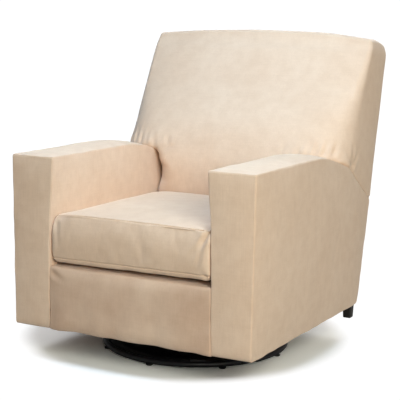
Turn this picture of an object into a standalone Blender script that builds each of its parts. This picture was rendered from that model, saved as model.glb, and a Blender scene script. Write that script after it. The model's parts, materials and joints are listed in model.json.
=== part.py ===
"""Swivel glider club chair, built as its separate pieces.

Metres, +Z up. The chair faces -Y and is symmetric about X = 0. The origin is on the floor,
under the middle of the chair's overall box. From the floor up:
  floor_base    round steel base that stands still: ring, pan, cross, glides, swivel bolt
  glider_frame  turns on the bolt: upper plate, tube frame, four posts with their pins
  swing links   four flat bars that hang from the posts
  chair_body    hangs from the links' lower pins: steel rails, wood, springs, padding
  seat_cushion  lies loose on the deck and lifts out
"""
import math

import bmesh
import bpy
from mathutils import Matrix, Vector

# ---- driving dimensions ----
WIDTH = 0.84             # over the arms
DEPTH = 1.01             # arm fronts to the top of the leaning back
ARM_TOP = 0.643          # height of the arms
BACK_TOP = 1.012         # height of the back at its sides
BACK_CROWN = 0.015       # how much higher the back is in its middle
BODY_BOTTOM = 0.1035     # underside of the upholstered body
BODY_FLARE = 0.010       # how much each side leans out between the bottom and the arm top
SEAT_WIDTH = 0.544       # between the arms
DECK_TOP = 0.3055        # top of the deck under the loose cushion
CUSHION_TOP = 0.462      # top edge of the loose cushion
CUSHION_CROWN = 0.016    # rise of the cushion's middle above its edge
FRONT_TO_AXIS = 0.430    # arm fronts to the swivel axis
RING_RADIUS = 0.297      # middle of the base ring's tube
TUBE_RADIUS = 0.0095     # the base ring's tube
LINK_LENGTH = 0.135      # between the pins of a swing link
PIN_HALF_SPREAD = 0.150  # swing pins in front of and behind the swivel axis
BASE_TURN = 30.0         # degrees that the cross stands turned from the front

# ---- places worked out from them ----
HALF = WIDTH / 2
FRONT = -DEPTH / 2
BACK = DEPTH / 2
AXIS_Y = FRONT + FRONT_TO_AXIS
ARM_INNER = SEAT_WIDTH / 2
GAP = 0.0003             # air between pieces that touch
CLEAR = 0.0006           # a cutter's growth over the piece that fills its pocket
SKIN = 0.005             # padded cloth panel on the outside back
GLIDE_HEIGHT = 0.0045
RING_LOW = GLIDE_HEIGHT + GAP
CROSS_LOW = RING_LOW + 2 * TUBE_RADIUS + GAP
CROSS_THICK = 0.006
PLATE_THICK = 0.005
LOWER_PLATE_LOW = CROSS_LOW + CROSS_THICK + GAP
BEARING_LOW = LOWER_PLATE_LOW + PLATE_THICK + GAP
BEARING_THICK = 0.008
UPPER_PLATE_LOW = BEARING_LOW + BEARING_THICK + GAP
UPPER_PLATE_TOP = UPPER_PLATE_LOW + PLATE_THICK
FRAME_LOW = UPPER_PLATE_TOP + GAP
FRAME_TUBE = 0.025       # height of the glider frame's tubes
POST_FOOT = FRAME_LOW + FRAME_TUBE + GAP
BOLT_RADIUS = 0.008
BOLT_HOLE = 0.0086
REAR_FOOT_Y = 0.322      # outside back at the body's bottom edge
REAR_TOP_Z = 0.95        # height where the outside back reaches its rearmost point
REAR_SLOPE = (BACK - REAR_FOOT_Y) / (REAR_TOP_Z - BODY_BOTTOM)
LEAN = math.atan(REAR_SLOPE)
LINK_TOP_Z = 0.2525      # pins that the links hang from
LINK_LOW_Z = LINK_TOP_Z - LINK_LENGTH
PIN_RADIUS = 0.005
PIN_HOLE = 0.0053
PIN_HEAD_RADIUS = 0.009
PIN_HEAD = 0.0035        # thickness of a pin's head
POST = 0.020             # side of a square post
POST_X = 0.250
LINK_THICK = 0.006
LINK_X = 0.2715
RAIL_THICK = 0.0038
RAIL_X = 0.2874
WOOD_IN = 0.290          # inner face of a side panel
WOOD_OUT = 0.326         # outer face of a side panel
WOOD_LOW = 0.115         # underside of the wooden rails
PANEL_FOOT = 0.2815      # underside of the back panel
PANEL_THICK = 0.018

COLOURS = {
    "cover": ((0.72, 0.57, 0.43), 0.95, 0.0),
    "deck_cloth": ((0.55, 0.45, 0.34), 0.95, 0.0),
    "black_steel": ((0.012, 0.012, 0.014), 0.45, 1.0),
    "zinc_steel": ((0.55, 0.56, 0.57), 0.35, 1.0),
    "nylon": ((0.02, 0.02, 0.02), 0.5, 0.0),
    "rubber": ((0.02, 0.02, 0.02), 0.85, 0.0),
    "wood": ((0.55, 0.36, 0.19), 0.6, 0.0),
    "foot_plastic": ((0.012, 0.010, 0.009), 0.45, 0.0),
}


# ---- scene and helpers ----
def clear_scene():
    for obj in list(bpy.data.objects):
        bpy.data.objects.remove(obj, do_unlink=True)


def new_collection(name):
    made = bpy.data.collections.new(name)
    bpy.context.scene.collection.children.link(made)
    return made


clear_scene()
PARTS = new_collection("glider_chair")
CUTTERS = new_collection("cutters")
MATERIALS = {}


def material(name):
    if name in MATERIALS:
        return MATERIALS[name]
    colour, roughness, metallic = COLOURS[name]
    made = bpy.data.materials.new(name)
    made.use_nodes = True
    shader = made.node_tree.nodes["Principled BSDF"]
    shader.inputs["Base Color"].default_value = (*colour, 1.0)
    shader.inputs["Roughness"].default_value = roughness
    shader.inputs["Metallic"].default_value = metallic
    made.diffuse_color = (*colour, 1.0)
    MATERIALS[name] = made
    return made


def add_object(name, mesh, finish=None):
    """Link a mesh as a part, or as a cutter when it has no finish."""
    obj = bpy.data.objects.new(name, mesh)
    if finish is None:
        CUTTERS.objects.link(obj)
        obj.hide_render = True
        obj.display_type = "WIRE"
    else:
        PARTS.objects.link(obj)
        mesh.materials.append(material(finish))
    return obj


def finish_mesh(name, bm):
    mesh = bpy.data.meshes.new(name)
    bm.to_mesh(mesh)
    bm.free()
    return mesh


def round_edges(obj, width, segments=2, angle=30.0):
    bevel = obj.modifiers.new("rounded edges", "BEVEL")
    bevel.width = width
    bevel.segments = segments
    bevel.limit_method = "ANGLE"
    bevel.angle_limit = math.radians(angle)


def smooth(obj, angle=40.0):
    obj.data.shade_smooth()
    obj.data.set_sharp_from_angle(angle=math.radians(angle))


def cut(obj, cutter):
    boolean = obj.modifiers.new("cut by " + cutter.name, "BOOLEAN")
    boolean.operation = "DIFFERENCE"
    boolean.solver = "EXACT"
    boolean.object = cutter


def box(name, low, high, finish=None, bevel=0.0):
    """A box between two corners, with its origin in its middle."""
    low, high = Vector(low), Vector(high)
    bm = bmesh.new()
    bmesh.ops.create_cube(bm, size=1.0)
    bmesh.ops.scale(bm, vec=high - low, verts=bm.verts)
    obj = add_object(name, finish_mesh(name, bm), finish)
    obj.location = (low + high) / 2
    if bevel:
        round_edges(obj, bevel)
    return obj


def disc(name, radius, low_z, high_z, centre, finish=None, sides=32, top_radius=None, turn=0.0):
    """A cylinder, cone or prism that stands upright on low_z."""
    bm = bmesh.new()
    spin = Matrix.Rotation(turn, 4, "Z")
    bmesh.ops.create_cone(bm, cap_ends=True, segments=sides, radius1=radius,
                          radius2=top_radius or radius, depth=high_z - low_z, matrix=spin)
    obj = add_object(name, finish_mesh(name, bm), finish)
    obj.location = (centre[0], centre[1], (low_z + high_z) / 2)
    if sides > 6:
        smooth(obj)
    return obj


def outline_solid(name, outline, holes, thickness, place, finish=None):
    """A flat outline with holes, thickened about its own plane and stood at a matrix."""
    curve = bpy.data.curves.new(name, "CURVE")
    curve.dimensions = "2D"
    curve.fill_mode = "BOTH"
    curve.extrude = thickness / 2
    for loop in [outline, *holes]:
        spline = curve.splines.new("POLY")
        spline.points.add(len(loop) - 1)
        for point, (x, y) in zip(spline.points, loop):
            point.co = (x, y, 0.0, 1.0)
        spline.use_cyclic_u = True
    guide = bpy.data.objects.new(name + "_outline", curve)
    CUTTERS.objects.link(guide)
    bpy.context.view_layer.update()
    graph = bpy.context.evaluated_depsgraph_get()
    mesh = bpy.data.meshes.new_from_object(guide.evaluated_get(graph))
    bpy.data.objects.remove(guide, do_unlink=True)
    bm = bmesh.new()
    bm.from_mesh(mesh)
    bmesh.ops.remove_doubles(bm, verts=bm.verts, dist=0.00001)
    bmesh.ops.recalc_face_normals(bm, faces=bm.faces)
    bm.to_mesh(mesh)
    bm.free()
    mesh.materials.clear()
    obj = add_object(name, mesh, finish)
    obj.matrix_world = place
    return obj


def half_round(radius, height):
    """The upper half of a circle about (0, height), from right to left."""
    turns = [math.pi * i / 8 for i in range(9)]
    return [(radius * math.cos(a), height + radius * math.sin(a)) for a in turns]


def side_place(x, y=0.0, z=0.0):
    """Stands an outline in the chair's side view: its x runs along Y, its y runs along Z."""
    turn = Matrix(((0, 0, 1), (1, 0, 0), (0, 1, 0))).to_4x4()
    return Matrix.Translation((x, y, z)) @ turn


def circle(x, y, radius, sides=24):
    turns = [2 * math.pi * i / sides for i in range(sides)]
    return [(x + radius * math.cos(a), y + radius * math.sin(a)) for a in turns]


def grown(outline, growth):
    """The outline with every side moved outward by growth (points run anticlockwise)."""
    moved = []
    for i, point in enumerate(outline):
        here = Vector(point)
        before = (here - Vector(outline[i - 1])).normalized()
        after = (Vector(outline[(i + 1) % len(outline)]) - here).normalized()
        out_before = Vector((before.y, -before.x))
        out_after = Vector((after.y, -after.x))
        mitre = (out_before + out_after).normalized()
        moved.append(tuple(here + mitre * (growth / mitre.dot(out_after))))
    return moved


def turned(name, profile, place, finish, steps=48, closed=True):
    """A profile of (radius, height) points, clockwise, spun about the object's own Z.

    A closed profile makes a ring; an open one runs from the axis round to the axis again.
    """
    bm = bmesh.new()
    verts = [bm.verts.new((r, 0.0, z)) for r, z in profile]
    for one, other in zip(verts, verts[1:]):
        bm.edges.new((one, other))
    if closed:
        bm.edges.new((verts[-1], verts[0]))
    obj = add_object(name, finish_mesh(name, bm), finish)
    screw = obj.modifiers.new("turned", "SCREW")
    screw.steps = steps
    screw.render_steps = steps
    screw.use_merge_vertices = True
    screw.merge_threshold = 0.00001
    obj.matrix_world = place
    return obj


def on_axis(z=0.0):
    """A place on the swivel axis."""
    return Matrix.Translation((0.0, AXIS_Y, z))


def rectangle(half_x, half_y):
    return [(-half_x, -half_y), (half_x, -half_y), (half_x, half_y), (-half_x, half_y)]


def empty(name, location, parent=None):
    made = bpy.data.objects.new(name, None)
    PARTS.objects.link(made)
    made.empty_display_size = 0.05
    made.location = location
    if parent is not None:
        made.parent = parent
        made.location = Vector(location) - parent.matrix_world.translation
    bpy.context.view_layer.update()
    return made


def attach(pieces, parent):
    """Parent finished pieces to an empty and leave them where they are."""
    inverse = Matrix.Translation(-parent.matrix_world.translation)
    for piece in pieces:
        piece.parent = parent
        piece.matrix_parent_inverse = inverse


def rear_y(z):
    """The leaning outside back, at a height."""
    return REAR_FOOT_Y + REAR_SLOPE * (z - BODY_BOTTOM)


# ---- floor_base: the round base that stands still ----
def base_ring():
    profile = list(reversed(circle(RING_RADIUS, RING_LOW + TUBE_RADIUS, TUBE_RADIUS, 12)))
    return turned("base_ring", profile, on_axis(), "black_steel", steps=60)


def base_pan():
    """Pressed pan inside the ring, with a raised lip beside the ring and a hole for the bolt's head."""
    sheet, hole, floor_edge, shoulder = 0.002, 0.030, 0.255, 0.272
    rim = RING_RADIUS - TUBE_RADIUS - 3 * GAP
    lip_low, high, dip = 0.0120, CROSS_LOW - 5 * GAP, 0.0035
    profile = [(hole, high), (floor_edge, high - dip), (shoulder, high), (rim, high), (rim, lip_low),
               (rim - sheet, lip_low), (rim - sheet, high - sheet), (shoulder, high - sheet),
               (floor_edge, high - dip - sheet), (hole, high - sheet)]
    return turned("base_pan", profile, on_axis(), "black_steel")


def base_cross():
    """Flat four-armed bar from ring to ring, on top of the pan."""
    arm_half, reach = 0.0225, 0.2990
    outline = []
    for k in range(4):
        turn = math.radians(BASE_TURN + 90 * k - 90)
        ahead = Vector((math.cos(turn), math.sin(turn)))
        aside = Vector((-math.sin(turn), math.cos(turn)))
        outline.append(tuple(ahead * arm_half - aside * arm_half))
        outline.append(tuple(ahead * reach - aside * arm_half))
        outline.append(tuple(ahead * reach + aside * arm_half))
    place = on_axis(CROSS_LOW + CROSS_THICK / 2)
    return outline_solid("base_cross", outline, [circle(0, 0, BOLT_HOLE)], CROSS_THICK, place, "black_steel")


def floor_glides():
    """Eight nylon glides under the ring, the first one at the front."""
    for k in range(8):
        turn = math.radians(45 * k - 90)
        centre = (RING_RADIUS * math.cos(turn), AXIS_Y + RING_RADIUS * math.sin(turn))
        disc(f"floor_glide_{k + 1}", 0.010, 0.0, GLIDE_HEIGHT, centre, "nylon", sides=12, top_radius=0.012)


def swivel_hardware():
    """Plate on the cross, and the bolt and nut that hold the turning plate down."""
    outline_solid("swivel_lower_plate", circle(0, 0, 0.095, 40), [circle(0, 0, BOLT_HOLE)], PLATE_THICK,
                  on_axis(LOWER_PLATE_LOW + PLATE_THICK / 2), "zinc_steel")
    head, head_high, nut, nut_high, tail = 0.013, 0.0074, 0.014, 0.010, 0.010
    head_top = CROSS_LOW - GAP
    nut_low = UPPER_PLATE_TOP + 2 * GAP
    bolt_end = nut_low + nut_high + tail
    profile = [(0, bolt_end), (BOLT_RADIUS, bolt_end), (BOLT_RADIUS, head_top), (head, head_top),
               (head, head_top - head_high), (0, head_top - head_high)]
    turned("swivel_bolt", profile, on_axis(), "zinc_steel", steps=24, closed=False)
    outline_solid("swivel_nut", circle(0, 0, nut, 6), [circle(0, 0, BOLT_HOLE)], nut_high,
                  on_axis(nut_low + nut_high / 2), "zinc_steel")


# ---- glider_frame: turns on the swivel bolt ----
def swivel_bearing_ring():
    inner, outer, top = 0.060, 0.080, BEARING_LOW + BEARING_THICK
    profile = [(inner, top), (outer, top), (outer, BEARING_LOW), (inner, BEARING_LOW)]
    return turned("swivel_bearing_ring", profile, on_axis(), "zinc_steel", steps=40)


def swivel_upper_plate():
    place = on_axis(UPPER_PLATE_LOW + PLATE_THICK / 2)
    return outline_solid("swivel_upper_plate", rectangle(0.100, 0.203), [circle(0, 0, BOLT_HOLE)],
                         PLATE_THICK, place, "black_steel")


def tube_section(width, height, wall=0.002):
    """A rectangular tube's outline and its hole."""
    outer = rectangle(width / 2, height / 2)
    return outer, [grown(outer, -wall)]


def frame_tubes():
    """Two side tubes and two cross tubes between them, welded on the upper plate."""
    side_width, cross_width, side_length, cross_place = 0.030, 0.025, 0.410, 0.1875
    middle = FRAME_LOW + FRAME_TUBE / 2
    outer, holes = tube_section(side_width, FRAME_TUBE)
    lengthwise = Matrix.Rotation(math.pi / 2, 4, "X")
    made = []
    for name, side in (("frame_rail_left", -1), ("frame_rail_right", 1)):
        place = Matrix.Translation((side * POST_X, AXIS_Y, middle)) @ lengthwise
        made.append(outline_solid(name, outer, holes, side_length, place, "black_steel"))
    outer, holes = tube_section(cross_width, FRAME_TUBE)
    length = 2 * (POST_X - side_width / 2 - GAP)
    for name, end in (("frame_cross_front", -1), ("frame_cross_rear", 1)):
        place = side_place(0.0, AXIS_Y + end * cross_place, middle)
        made.append(outline_solid(name, outer, holes, length, place, "black_steel"))
    return made


def hanger_posts():
    """Four posts on the side tubes, each with a round head and the hole for its pin."""
    half = POST / 2
    outline = [(-half, POST_FOOT), (half, POST_FOOT), *half_round(half, LINK_TOP_Z)]
    holes = [circle(0, LINK_TOP_Z, PIN_HOLE)]
    made = []
    for name, side, end in corners("hanger_post"):
        place = side_place(side * POST_X, AXIS_Y + end * PIN_HALF_SPREAD)
        made.append(outline_solid(name, outline, holes, POST, place, "black_steel"))
    return made


def corners(stem):
    """Names and signs of the four corners, seen by someone who faces the chair's front."""
    return [(f"{stem}_front_left", -1, -1), (f"{stem}_front_right", 1, -1),
            (f"{stem}_rear_left", -1, 1), (f"{stem}_rear_right", 1, 1)]


def pin(name, side, end, height, shank, head):
    """A headed pin across one corner; shank and head are pairs of distances from X = 0."""
    thin, thick = PIN_RADIUS, PIN_HEAD_RADIUS
    if head[0] < shank[0]:
        profile = [(0, shank[1]), (thin, shank[1]), (thin, head[1]), (thick, head[1]), (thick, head[0]),
                   (0, head[0])]
    else:
        profile = [(0, head[1]), (thick, head[1]), (thick, head[0]), (thin, head[0]), (thin, shank[0]),
                   (0, shank[0])]
    along = Matrix.Rotation(side * math.pi / 2, 4, "Y")
    place = Matrix.Translation((0.0, AXIS_Y + end * PIN_HALF_SPREAD, height)) @ along
    return turned(name, profile, place, "zinc_steel", steps=16, closed=False)


def top_pins():
    """Pins through the posts, with their heads outside the links."""
    inner_end, head_from = POST_X - POST / 2 - 0.0025, LINK_X + LINK_THICK / 2 + 0.0005
    head = (head_from, head_from + PIN_HEAD)
    return [pin(name, side, end, LINK_TOP_Z, (inner_end, head[1]), head)
            for name, side, end in corners("top_pin")]


def lower_pins():
    """Pins through the links and the seat rails, with their heads inside the links."""
    head_to, outer_end = LINK_X - LINK_THICK / 2 - 0.0005, WOOD_IN - 0.0004
    head = (head_to - PIN_HEAD, head_to)
    return [pin(name, side, end, LINK_LOW_Z, (head_to, outer_end), head)
            for name, side, end in corners("lower_pin")]


def stop_bumpers():
    """Rubber blocks on the cross tubes that end the glide."""
    half_width, inner, outer, top = 0.020, 0.192, 0.2125, 0.1300
    made = []
    for name, end in (("stop_bumper_front", -1), ("stop_bumper_rear", 1)):
        near, far = sorted((AXIS_Y + end * inner, AXIS_Y + end * outer))
        made.append(box(name, (-half_width, near, POST_FOOT), (half_width, far, top), "rubber", bevel=0.002))
    return made


# ---- swing links ----
def swing_links():
    upper = half_round(0.012, 0.0)
    lower = [(-x, -y - LINK_LENGTH) for x, y in upper]
    holes = [circle(0, 0, PIN_HOLE), circle(0, -LINK_LENGTH, PIN_HOLE)]
    made = []
    for name, side, end in corners("swing_link"):
        place = side_place(side * LINK_X, AXIS_Y + end * PIN_HALF_SPREAD, LINK_TOP_Z)
        made.append(outline_solid(name, upper + lower, holes, LINK_THICK, place, "black_steel"))
    return made


# ---- chair_body: steel and wood ----
def seat_rails():
    """Flat steel rails inside the arms, hung on the links' lower pins."""
    low, high, half_length = 0.1060, 0.1560, 0.2950
    outline = [(-half_length, low), (half_length, low), (half_length, high), (-half_length, high)]
    holes = [circle(end * PIN_HALF_SPREAD, LINK_LOW_Z, PIN_HOLE) for end in (-1, 1)]
    made = []
    for name, side in (("seat_rail_left", -1), ("seat_rail_right", 1)):
        place = side_place(side * RAIL_X, AXIS_Y)
        made.append(outline_solid(name, outline, holes, RAIL_THICK, place, "black_steel"))
    return made


def seat_crosses():
    """Tubes between the seat rails; they also meet the rubber stops at the ends of the glide."""
    from_axis, height = 0.2800, 0.1195
    outer, holes = tube_section(0.020, 0.023)
    length = 2 * (RAIL_X - RAIL_THICK / 2 - GAP)
    made = []
    for name, end in (("seat_cross_front", -1), ("seat_cross_rear", 1)):
        place = side_place(0.0, AXIS_Y + end * from_axis, height)
        made.append(outline_solid(name, outer, holes, length, place, "black_steel"))
    return made


PANEL_INSET = 0.024      # side panel's rear edge to the outside back
SIDE_PANEL = [(AXIS_Y - 0.400, 0.106), (rear_y(0.106) - PANEL_INSET, 0.106),
              (rear_y(0.435) - PANEL_INSET, 0.435), (AXIS_Y + 0.240, 0.555), (AXIS_Y + 0.050, 0.600),
              (AXIS_Y - 0.400, 0.600)]


def side_panels():
    thickness = WOOD_OUT - WOOD_IN
    middle = (WOOD_OUT + WOOD_IN) / 2
    return [outline_solid("side_panel_left", SIDE_PANEL, [], thickness, side_place(-middle), "wood"),
            outline_solid("side_panel_right", SIDE_PANEL, [], thickness, side_place(middle), "wood")]


def wood_rails():
    """Rails between the side panels, under the front and the rear of the deck."""
    across, thickness = WOOD_IN - GAP, 0.035
    front_face, front_top, rear_face, rear_top = FRONT + 0.0255, 0.2950, 0.268, 0.2800
    front = box("front_rail", (-across, front_face, WOOD_LOW), (across, front_face + thickness, front_top),
                "wood", bevel=0.005)
    rear = box("rear_rail", (-across, rear_face, WOOD_LOW), (across, rear_face + thickness, rear_top),
               "wood", bevel=0.002)
    return [front, rear]


def back_panel_outline():
    """Outline in the leaning plane: narrow between the arms, wide above them."""
    narrow, wide, chamfer = 0.255, 0.375, 0.03
    shoulder, top = [(z - PANEL_FOOT) / math.cos(LEAN) for z in (0.560, 0.965)]
    right = [(narrow, 0.0), (narrow, shoulder), (wide, shoulder + 0.05), (wide, top - chamfer),
             (wide - chamfer, top)]
    return right + [(-x, y) for x, y in reversed(right)]


def back_panel_place():
    inset = 0.040
    start = Vector((0.0, rear_y(PANEL_FOOT) - inset / math.cos(LEAN), PANEL_FOOT))
    return Matrix.Translation(start) @ Matrix.Rotation(math.pi / 2 - LEAN, 4, "X")


def back_panel():
    return outline_solid("back_panel", back_panel_outline(), [], PANEL_THICK, back_panel_place(), "wood")


def seat_springs():
    """Zigzag wire springs from the front rail to the rear rail."""
    start, end, height = AXIS_Y - 0.366, 0.264, 0.2870
    waves, half_swing, wire = 10, 0.028, 0.0018
    pitch = (end - start) / (2 * waves)
    made = []
    for number, x in enumerate((-0.195, -0.065, 0.065, 0.195), start=1):
        name = f"seat_spring_{number}"
        curve = bpy.data.curves.new(name, "CURVE")
        curve.dimensions = "3D"
        curve.bevel_depth = wire
        curve.bevel_resolution = 1
        curve.use_fill_caps = True
        route = [(x, start, height)]
        for step in range(2 * waves):
            swing = half_swing if step % 2 else -half_swing
            near = start + pitch * (step + 0.25)
            route.append((x + swing, near, height))
            route.append((x + swing, near + pitch / 2, height))
        route.append((x, end, height))
        spline = curve.splines.new("POLY")
        spline.points.add(len(route) - 1)
        for point, place in zip(spline.points, route):
            point.co = (*place, 1.0)
        curve.materials.append(material("zinc_steel"))
        obj = bpy.data.objects.new(name, curve)
        PARTS.objects.link(obj)
        made.append(obj)
    return made


def rear_feet():
    """Tapered square blocks under the rear corners that stop the chair from tipping back."""
    foot_x, foot_y, low, high = 0.384, 0.314, 0.0520, BODY_BOTTOM - 0.0005
    made = []
    for name, side in (("rear_foot_left", -1), ("rear_foot_right", 1)):
        foot = disc(name, 0.0198, low, high, (side * foot_x, foot_y), "foot_plastic", sides=4,
                    top_radius=0.0225, turn=math.pi / 4)
        round_edges(foot, 0.004)
        made.append(foot)
    return made


# ---- chair_body: padding and covers ----
ARM_SIDE = [(FRONT, BODY_BOTTOM), (rear_y(BODY_BOTTOM) - SKIN - GAP, BODY_BOTTOM),
            (rear_y(0.456) - SKIN - GAP, 0.456), (AXIS_Y + 0.259, 0.591), (AXIS_Y + 0.062, ARM_TOP),
            (FRONT, ARM_TOP)]


def outer_side(z):
    """The body's outer face at a height: it leans out up to the arm top and is upright above it."""
    return HALF - BODY_FLARE * max(0.0, 1.0 - (z - BODY_BOTTOM) / (ARM_TOP - BODY_BOTTOM))


def arm_block(name, side):
    """The arm's side view, thickened from the seat space to the flared outer face."""
    place = side_place(side * (HALF + ARM_INNER) / 2)
    obj = outline_solid(name, ARM_SIDE, [], HALF - ARM_INNER, place, "cover")
    for vert in obj.data.vertices:
        if vert.co.z * side > 0:
            vert.co.z -= side * (HALF - outer_side(vert.co.y))
    return obj


def arm_envelope(name, side):
    """The space that the back leaves for an arm: the arm's seams and all that lies below them."""
    reach = 0.060
    seam_start, seam_end = Vector(ARM_SIDE[3]), Vector(ARM_SIDE[2])
    beyond = seam_end + (seam_end - seam_start).normalized() * reach
    outline = [(FRONT, DECK_TOP - reach), (beyond.x, DECK_TOP - reach), tuple(beyond), *ARM_SIDE[3:]]
    thickness = HALF - ARM_INNER + reach
    place = side_place(side * (ARM_INNER - GAP + thickness / 2))
    return outline_solid(name, grown(outline, GAP), [], thickness, place)


def arms():
    """Padded arms with a pocket for the side panel and room inside for the steel rails."""
    below, rail_room_top = 0.05, 0.2956
    pocket = [(SIDE_PANEL[0][0], below), (SIDE_PANEL[1][0], below), *SIDE_PANEL[2:]]
    pocket_thick = WOOD_OUT - WOOD_IN + 2 * CLEAR
    made = []
    for name, side in (("arm_left", -1), ("arm_right", 1)):
        arm = arm_block(name, side)
        round_edges(arm, 0.010)
        place = side_place(side * (WOOD_OUT + WOOD_IN) / 2)
        cut(arm, outline_solid(name + "_panel_pocket", grown(pocket, CLEAR), [], pocket_thick, place))
        near, far = sorted((side * 0.20, side * (WOOD_IN + CLEAR)))
        cut(arm, box(name + "_rail_room", (near, AXIS_Y - 0.405, below), (far, 0.60, rail_room_top)))
        made.append(arm)
    return made


def front_cover():
    """Padded cloth over the front rail, turned over its top edge."""
    face, top, wrap = 0.025, 0.0102, FRONT + 0.075
    outline = [(FRONT, BODY_BOTTOM), (FRONT + face, BODY_BOTTOM), (FRONT + face, DECK_TOP - top),
               (wrap, DECK_TOP - top), (wrap, DECK_TOP), (FRONT, DECK_TOP)]
    cover = outline_solid("front_cover", outline, [], 2 * (ARM_INNER - GAP), side_place(0.0), "cover")
    round_edges(cover, 0.0035)
    return cover


def deck_pad():
    """Padded cloth over the springs."""
    across, start, end, thickness = ARM_INNER - GAP, FRONT + 0.0753, 0.255, 0.015
    return box("deck_pad", (-across, start, DECK_TOP - thickness), (across, end, DECK_TOP), "deck_cloth",
               bevel=0.003)


# Height, front face in the middle, start of the side face and depth of the corner, up the back
BACK_STATIONS = [(0.3058, 0.092, 0.200, 0.100), (0.4500, 0.097, 0.215, 0.110), (0.6000, 0.087, 0.225, 0.125),
                 (0.6900, 0.138, 0.261, 0.116), (0.7600, 0.190, 0.288, 0.095), (0.8400, 0.263, 0.314, 0.055),
                 (0.9200, 0.322, 0.346, 0.030), (0.9750, 0.360, 0.376, 0.018), (1.0000, 0.380, 0.390, 0.014)]


CROWN_FROM = 0.92        # height where the back's sections start to rise in their middle


def back_ring(z, front, seam, corner, shrink, crown):
    """One level section of the back, anticlockwise from the rear left corner."""
    rear = min(rear_y(z), rear_y(0.950)) - SKIN - GAP - shrink
    wide = outer_side(z) - shrink
    half = [(wide - 0.010, rear), (wide, rear - 0.010), (wide, seam + shrink)]
    for step in (1, 2, 3):
        turn = step * math.pi / 6
        half.append((wide - corner * (1 - math.cos(turn)), seam + shrink - (seam - front) * math.sin(turn)))
    half.append((wide / 2 - corner / 2, front + shrink - 0.006))
    right = [(x, y, z + crown * (1 - (x / HALF) ** 2)) for x, y in half]
    left = [(-x, y, height) for x, y, height in reversed(right)]
    middle_front = (0.0, front + shrink - 0.010, z + crown)
    middle_rear = (0.0, rear, z + crown)
    return [middle_rear, *right, middle_front, *left]


def close_half(bm, edge):
    """Fill half of an end section with strips; edge runs from its rear middle to its front middle."""
    last = len(edge) - 1
    for i in range(last // 2 - 1):
        bm.faces.new((edge[i], edge[i + 1], edge[last - i - 1], edge[last - i]))
    bm.faces.new(edge[last // 2 - 1:last // 2 + 2])


def back_solid():
    """The leaning back as a loft of level sections, full width over its whole height."""
    rings = []
    for z, front, seam, corner in BACK_STATIONS:
        crown = BACK_CROWN * max(0.0, (z - CROWN_FROM) / (BACK_TOP - CROWN_FROM))
        rings.append(back_ring(z, front, seam, corner, 0.0, crown))
    rings.append(back_ring(BACK_TOP - 0.003, front, seam, corner, 0.012, BACK_CROWN))
    rings.append(back_ring(BACK_TOP, front, seam, corner, 0.034, BACK_CROWN))
    bm = bmesh.new()
    loops = [[bm.verts.new(point) for point in ring] for ring in rings]
    count = len(loops[0])
    for lower, upper in zip(loops, loops[1:]):
        for i in range(count):
            j = (i + 1) % count
            bm.faces.new((lower[i], upper[i], upper[j], lower[j]))
    for loop in (loops[0], loops[-1]):
        close_half(bm, loop[:count // 2 + 1])
        close_half(bm, [loop[0], *reversed(loop[count // 2:])])
    bmesh.ops.remove_doubles(bm, verts=bm.verts, dist=0.00001)
    bmesh.ops.recalc_face_normals(bm, faces=bm.faces)
    return add_object("back_cushion", finish_mesh("back_cushion", bm), "cover")


def back_cushion():
    """The tight back, cut to sit between and behind the arms and over the back panel."""
    back = back_solid()
    for name, side in (("arm_envelope_left", -1), ("arm_envelope_right", 1)):
        cut(back, arm_envelope(name, side))
    pocket = [(x, y if y > 0 else y - 0.05) for x, y in grown(back_panel_outline(), CLEAR)]
    thickness = PANEL_THICK + 2 * CLEAR
    cut(back, outline_solid("back_panel_pocket", pocket, [], thickness, back_panel_place()))
    return back


def outside_back():
    """Padded cloth panel over the whole leaning rear."""
    low, high = BODY_BOTTOM, REAR_TOP_Z
    outline = [(rear_y(low) - SKIN, low), (rear_y(low), low), (rear_y(high), high),
               (rear_y(high) - SKIN, high)]
    return outline_solid("outside_back", outline, [], 2 * (HALF - 0.012), side_place(0.0), "cover")


# ---- the loose cushion ----
def seat_cushion():
    low = Vector((-ARM_INNER + 0.0015, FRONT + 0.015, DECK_TOP + 0.002))
    high = Vector((ARM_INNER - 0.0015, 0.0765, CUSHION_TOP))
    size, middle = high - low, (low + high) / 2
    bm = bmesh.new()
    bmesh.ops.create_cube(bm, size=1.0)
    level = [edge for edge in bm.edges if abs(edge.verts[0].co.z - edge.verts[1].co.z) < 0.5]
    bmesh.ops.subdivide_edges(bm, edges=level, cuts=5, use_grid_fill=True)
    for vert in bm.verts:
        x, y = 2 * vert.co.x, 2 * vert.co.y
        if vert.co.z > 0:
            vert.co.z += CUSHION_CROWN / size.z * (1 - x * x) * (1 - y * y) * 1.05
    bmesh.ops.scale(bm, vec=size, verts=bm.verts)
    obj = add_object("seat_cushion", finish_mesh("seat_cushion", bm), "cover")
    obj.location = middle
    round_edges(obj, 0.018, segments=2, angle=60.0)
    return obj


# ---- put it together ----
def build():
    base_ring()
    base_pan()
    base_cross()
    floor_glides()
    swivel_hardware()

    swivel = empty("swivel_axis", (0.0, AXIS_Y, 0.0))
    frame = [swivel_bearing_ring(), swivel_upper_plate(), *frame_tubes(), *hanger_posts(), *stop_bumpers()]
    frame += top_pins()
    attach(frame, swivel)

    link_pivots = []
    for link, (name, side, end) in zip(swing_links(), corners("link_pivot")):
        pivot = empty(name, (side * LINK_X, AXIS_Y + end * PIN_HALF_SPREAD, LINK_TOP_Z), swivel)
        attach([link], pivot)
        link_pivots.append(pivot)

    chair_pivot = empty("chair_pivot", (-LINK_X, AXIS_Y - PIN_HALF_SPREAD, LINK_LOW_Z), link_pivots[0])
    body = [*seat_rails(), *seat_crosses(), *side_panels(), *wood_rails(), back_panel(), *seat_springs()]
    body += [*lower_pins(), *rear_feet(), *arms(), front_cover(), deck_pad(), back_cushion()]
    body += [outside_back(), seat_cushion()]
    attach(body, chair_pivot)


build()
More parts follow.
